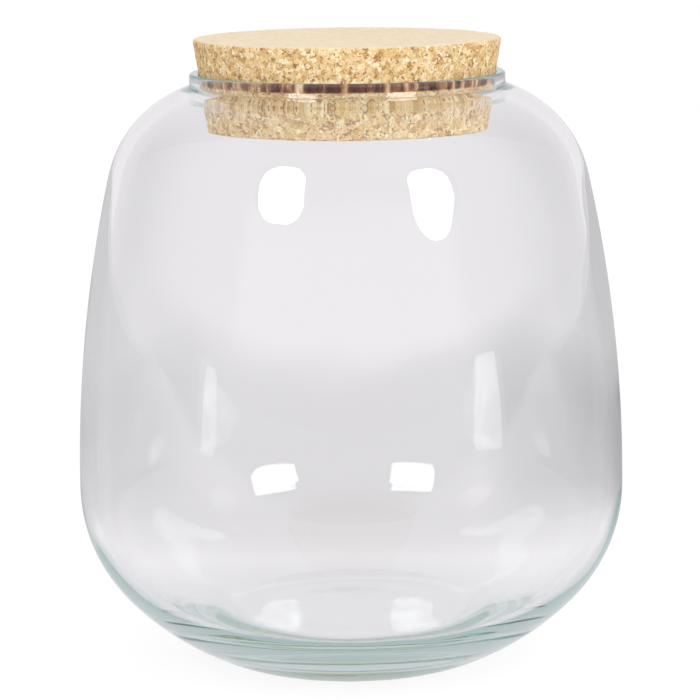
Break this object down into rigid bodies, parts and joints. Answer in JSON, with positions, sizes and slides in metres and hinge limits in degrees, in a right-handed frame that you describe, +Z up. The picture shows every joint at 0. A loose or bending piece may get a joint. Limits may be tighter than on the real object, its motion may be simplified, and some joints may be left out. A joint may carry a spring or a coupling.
{
  "type": "glass jar with cork lid",
  "caption": "Wide rounded clear glass storage jar with a thick base and short neck, closed by a tapered cork stopper that lifts straight out of the mouth.",
  "frame": {"origin": "on the jar's axis, at the level of the foot ring that it stands on", "axes": "+Z up along the jar's axis and the way the stopper lifts; the picture looks along +Y, with +X to the right"},
  "size_m": [0.2166, 0.2166, 0.2465],
  "materials": {
    "clear_glass": "polished",
    "agglomerated_cork": "matte"
  },
  "bodies": {
    "jar": {"glass_jar": "clear_glass"},
    "stopper": {"cork_stopper": "agglomerated_cork"}
  },
  "joints": [
    {"name": "stopper_lift", "type": "slide", "parent": "jar", "child": "stopper", "axis": [0, 0, 1], "range_m": [0, 0.12]}
  ]
}
